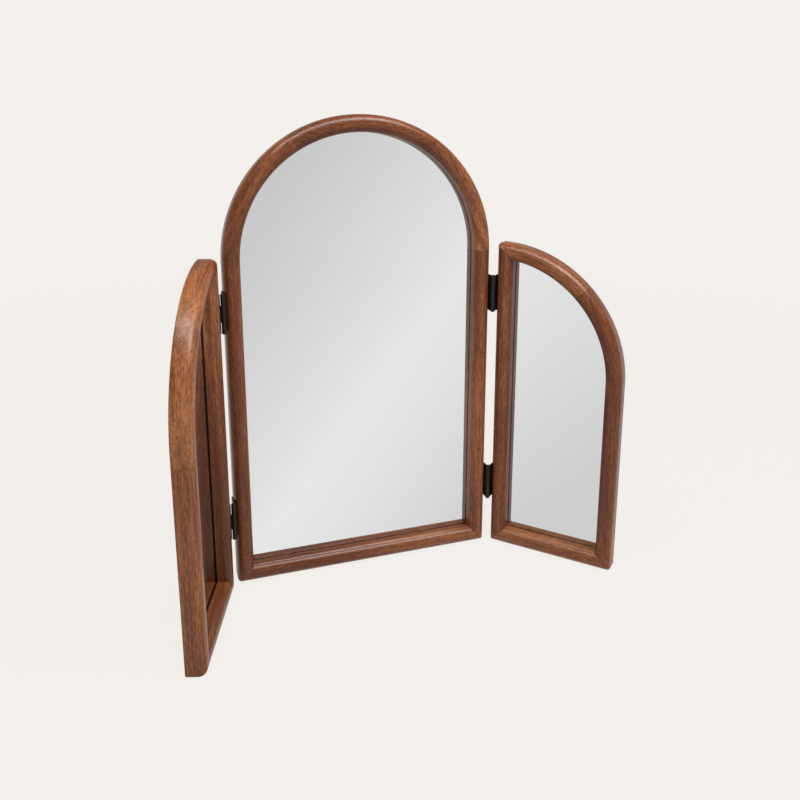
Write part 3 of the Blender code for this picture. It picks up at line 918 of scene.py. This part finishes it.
def add_hinge(word, level, settings):
    """One hinge: its pin, its two leaves and their four screws."""
    name = f"{word}_{level}_hinge"
    fixed, wing = FIXED[word], RIGHT if word == "right" else LEFT
    height = box_middle(f"{name}_fixed_leaf").z
    half, inner_half = HINGE_HEIGHT / 2, settings.knuckle_height / 2
    inner = LEAF_OUTER - settings.leaf_thickness
    outer_start = inner_half + FIT_GAP
    sizes = (settings.screw_length, settings.screw_head_height, settings.screw_head_radius,
             settings.screw_radius)
    leaves = (
        ("fixed", fixed, -fixed.side, [(-half, -outer_start), (outer_start, half)]),
        ("moving", wing, wing.side, [(-inner_half, inner_half)]),
    )
    for kind, panel, sign, knuckles in leaves:
        points, faces = leaf_parts(settings, knuckles)
        placed = panel.turned(sign * points[:, 0], points[:, 1], points[:, 2] + height)
        add_metal(f"{name}_{kind}_leaf", panel, placed, faces, "hinge_black")
        for number in (1, 2):
            spot = box_middle(f"{name}_fixed_screw_{number}")
            origin = (sign * inner, spot.y - fixed.axis[1], spot.z)
            add_screw(f"{name}_{kind}_screw_{number}", panel, sizes, origin, (0, 1, 0), (0, 0, 1),
                      (-sign, 0, 0), "hinge_black")
    points, faces = pin_part(settings)
    placed = fixed.turned(points[:, 0], points[:, 1], points[:, 2] + height)
    add_metal(f"{name}_pin", fixed, placed, faces, "hinge_black")


def add_board_screws(panel, settings):
    """The screws that hold a panel's back board."""
    sizes = (settings.board_screw_length, settings.board_screw_head_height,
             settings.board_screw_head_radius, settings.board_screw_radius)
    shelf = (BOARD_INSET + GLASS_INSET) / 2  # middle of the rebate that the board lies on
    count = 4 if panel is CENTRE else 3
    for number in range(1, count + 1):
        node = f"{panel.word}_board_screw_{number}"
        spot = box_middle(node)
        across = {1: shelf, 2: WING_WIDTH - shelf, 3: WING_WIDTH / 2}.get(number)
        x = spot.x if panel is CENTRE else panel.side * (panel.reach + across)
        origin = (x, MEMBER_DEPTH / 2 - panel.axis[1], spot.z)
        add_screw(node, panel, sizes, origin, (1, 0, 0), (0, 0, 1), (0, 1, 0),
                  "screw_steel")


# ---------------------------------------------------------------- operators and stage
UPRIGHT = pi / 2

class MIRROR_OT_frames(bpy.types.Operator):
    """Makes the wooden members of the three frames"""

    bl_idname = "arched_mirror.frames"
    bl_label = "Wood Frames"

    def execute(self, context):
        wood = context.scene.mirror_wood
        walnut_material(wood)
        inset, depth = section(wood)
        members = [(CENTRE, *member) for member in self.centre_members(inset, wood)]
        for panel in (LEFT, RIGHT):
            members += [(panel, *member) for member in self.wing_members(panel, inset, wood)]
        for number, (panel, name, path, angle) in enumerate(members, 1):
            node = f"{panel.word}_{name}"
            add_member(node, panel, path, depth, angle, board_place(number))
        return {"FINISHED"}

    @staticmethod
    def centre_members(inset, wood):
        """The centre frame's members, as (name, path, grain angle)."""
        half = PANEL_WIDTH / 2
        across, height = stile_path(inset, SPRING_HEIGHT, wood)
        yield "left_stile", (across - half, height), UPRIGHT
        yield "right_stile", (half - across, height), UPRIGHT
        yield "bottom_rail", rail_path(inset, -half, half, wood), 0.0
        arches = (
            ("arch_right", 0, RIGHT_ARCH_JOINT),
            ("arch_top", RIGHT_ARCH_JOINT, LEFT_ARCH_JOINT),
            ("arch_left", LEFT_ARCH_JOINT, pi),
        )
        for name, first, last in arches:
            path = arch_path(inset, SPRING_HEIGHT, half, first, last, wood)
            yield name, path, (first + last) / 2 + UPRIGHT

    @staticmethod
    def wing_members(panel, inset, wood):
        """A wing frame's members, as (name, path, grain angle)."""
        yield "hinge_stile", hinge_stile_path(inset, wood), UPRIGHT
        yield "bottom_rail", rail_path(inset, 0, WING_WIDTH, wood), 0.0
        tail = WING_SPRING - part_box(f"{panel.word}_outer_stile")[1].z - GLUE_GAP
        across, height = stile_path(inset, WING_SPRING - tail, wood)
        yield "outer_stile", (WING_WIDTH - across, height), UPRIGHT
        joint = WING_ARCH_JOINT
        lower = arch_path(inset, WING_SPRING, WING_WIDTH, 0.0, joint, wood, tail)
        yield "arch_lower", lower, joint / 2 + UPRIGHT
        yield "arch_upper", upper_arch_path(inset, joint, wood), joint * 1.5 + UPRIGHT


class MIRROR_OT_glasses(bpy.types.Operator):
    """Makes the silvered glasses and finishes the back boards"""

    bl_idname = "arched_mirror.glasses"
    bl_label = "Glasses and Boards"

    def execute(self, context):
        settings = context.scene.mirror_glass
        silver_painted_reflection_material()
        brown = board_material(settings)
        for panel in (CENTRE, LEFT, RIGHT):
            add_glass(panel, settings)
            board = frame["nodes"][f"{panel.word}_back_board"]
            board.data.materials.clear()
            board.data.materials.append(brown)
        return {"FINISHED"}


class MIRROR_OT_hinges(bpy.types.Operator):
    """Makes the hinges and every screw"""

    bl_idname = "arched_mirror.hinges"
    bl_label = "Hinges and Screws"

    def execute(self, context):
        settings = context.scene.mirror_hinges
        metal_material("hinge_black", settings.metal, 0.42, 0.6, 0.8)
        metal_material("screw_steel", settings.steel, 0.35, 1.0, 0.3)
        for word in ("left", "right"):
            for level in ("lower", "upper"):
                add_hinge(word, level, settings)
        for panel in (CENTRE, LEFT, RIGHT):
            add_board_screws(panel, settings)
        return {"FINISHED"}


FLOOR_RADIUS = 40.0
FLOOR_SIDES = 96
FLOOR_DROP = 0.0005  # the floor lies this far below the mirror's feet
FLOOR_TINT = 0.6  # its colour where it takes light, as a share of the backdrop's
FLOOR_LIT_SHARE = 0.05  # how much of it takes light and shadow near the mirror
FLOOR_FADE = (0.6, 3.0)  # metres from the middle between which that share fades out
# What everything but the camera sees of the studio at each height, from the horizon's 0.
STUDIO_GREYS = ((0.30, (0.40, 0.38, 0.365)), (0.7, (0.20, 0.19, 0.18)))
LAMP_TARGET = (0, 0, 0.3)
LAMPS = (  # name, place, size and watts
    ("key", (0.7, -0.9, 2.0), (0.9, 0.7), 33.0),
    ("top", (-0.3, -0.6, 1.9), (1.5, 0.45), 27.0),
)
CAMERA_PLACE = (-0.2868, -0.9901, 0.6107)
CAMERA_YAW = radians(18.91)  # turned to the right
CAMERA_PITCH = radians(13.12)  # tilted down
CAMERA_SHIFT = -0.12


class MIRROR_OT_stage(bpy.types.Operator):
    """Makes the pale floor, the soft lights and the camera"""

    bl_idname = "arched_mirror.stage"
    bl_label = "Stage"

    def execute(self, context):
        stage = context.scene.mirror_stage
        self.add_floor(stage)
        self.set_world(stage)
        self.add_lights()
        self.add_camera(stage)
        context.scene.view_settings.view_transform = "Standard"
        return {"FINISHED"}

    def add_floor(self, stage):
        """A disc that glows with the backdrop's colour and takes a faint soft shadow."""
        rim = arc_points((0, 0), FLOOR_RADIUS, 0, 2 * pi, FLOOR_SIDES)[:-1]
        points = np.column_stack([rim, np.full(len(rim), -FLOOR_DROP)])
        floor = add_piece("floor", points, [list(range(len(rim)))])
        lit = rgba(FLOOR_TINT * part for part in stage.backdrop)
        graph = material_graph("floor_pale", stage.backdrop, Roughness=0.9, Base_Color=lit)
        glow = graph.node("Emission", {}, {"Color": rgba(stage.backdrop), "Strength": 1.0})
        away = graph.node("VectorMath", {"operation": "LENGTH"}, [graph.place()])
        faded = Value(graph, away.outputs["Value"]).between(*FLOOR_FADE)
        share = 1.0 - (1.0 - faded) * FLOOR_LIT_SHARE
        mixed = graph.node("MixShader", {}, [share, graph.shader.outputs[0], glow.outputs[0]])
        output = graph.tree.nodes["Material Output"]
        graph.tree.links.new(mixed.outputs[0], output.inputs[0])
        floor.data.materials.append(graph.owner)

    def set_world(self, stage):
        """The backdrop's colour for the camera, and a studio that darkens upwards for the rest."""
        world = bpy.data.worlds.new("studio")
        bpy.context.scene.world = world
        graph = Graph(world, "Background")
        up = graph.part(graph.node("TexCoord").outputs["Generated"], 2)
        studio = graph.ramp(up, [(0.0, stage.backdrop), *STUDIO_GREYS], "EASE")
        seen = graph.node("LightPath").outputs["Is Camera Ray"]
        graph.link(graph.mix(seen, studio, rgba(stage.backdrop)), "Color")

    def add_lights(self):
        """A large soft key above and to the front right, and a long strip above."""
        for name, place, size, power in LAMPS:
            data = bpy.data.lights.new(name, "AREA")
            data.shape = "RECTANGLE"
            data.size, data.size_y = size
            data.energy = power
            lamp = bpy.data.objects.new(name, data)
            lamp.location = place
            aim = Vector(LAMP_TARGET) - Vector(place)
            lamp.rotation_euler = aim.to_track_quat("-Z", "Y").to_euler()
            bpy.context.scene.collection.objects.link(lamp)

    def add_camera(self, stage):
        """The camera, in front of the mirror, to its left and above it."""
        data = bpy.data.cameras.new("camera")
        data.lens = stage.lens
        data.shift_y = CAMERA_SHIFT
        camera = bpy.data.objects.new("camera", data)
        camera.location = CAMERA_PLACE
        camera.rotation_euler = (pi / 2 - CAMERA_PITCH, 0.0, -CAMERA_YAW)
        bpy.context.scene.collection.objects.link(camera)
        bpy.context.scene.camera = camera


class MIRROR_PT_panel(bpy.types.Panel):
    """Lists the mirror's settings and the buttons that make its pieces"""

    bl_idname = "MIRROR_PT_panel"
    bl_label = "Arched Mirror"
    bl_space_type = "VIEW_3D"
    bl_region_type = "UI"
    bl_category = "Arched Mirror"

    def draw(self, context):
        scene = context.scene
        groups = (
            (scene.mirror_wood, "arched_mirror.frames"),
            (scene.mirror_glass, "arched_mirror.glasses"),
            (scene.mirror_hinges, "arched_mirror.hinges"),
            (scene.mirror_stage, "arched_mirror.stage"),
        )
        for settings, operator in groups:
            box = self.layout.box()
            for name in settings.bl_rna.properties.keys():
                if name not in ("rna_type", "name"):
                    box.prop(settings, name)
            box.operator(operator)


SETTINGS = {
    "mirror_wood": WoodSettings,
    "mirror_glass": MirrorSettings,
    "mirror_hinges": HingeSettings,
    "mirror_stage": StageSettings,
}
OPERATORS = (MIRROR_OT_frames, MIRROR_OT_glasses, MIRROR_OT_hinges, MIRROR_OT_stage)


def register():
    """Registers every class and gives the scene its settings."""
    for group in (*SETTINGS.values(), *OPERATORS, MIRROR_PT_panel):
        bpy.utils.register_class(group)
    for name, group in SETTINGS.items():
        setattr(bpy.types.Scene, name, PointerProperty(type=group))


def unregister():
    """Takes the settings and the classes away again."""
    for name in SETTINGS:
        delattr(bpy.types.Scene, name)
    for group in reversed((*SETTINGS.values(), *OPERATORS, MIRROR_PT_panel)):
        bpy.utils.unregister_class(group)


def main():
    """Makes every piece and the stage."""
    register()
    bpy.ops.arched_mirror.frames()
    bpy.ops.arched_mirror.glasses()
    bpy.ops.arched_mirror.hinges()
    bpy.ops.arched_mirror.stage()


if __name__ == "__main__":
    main()
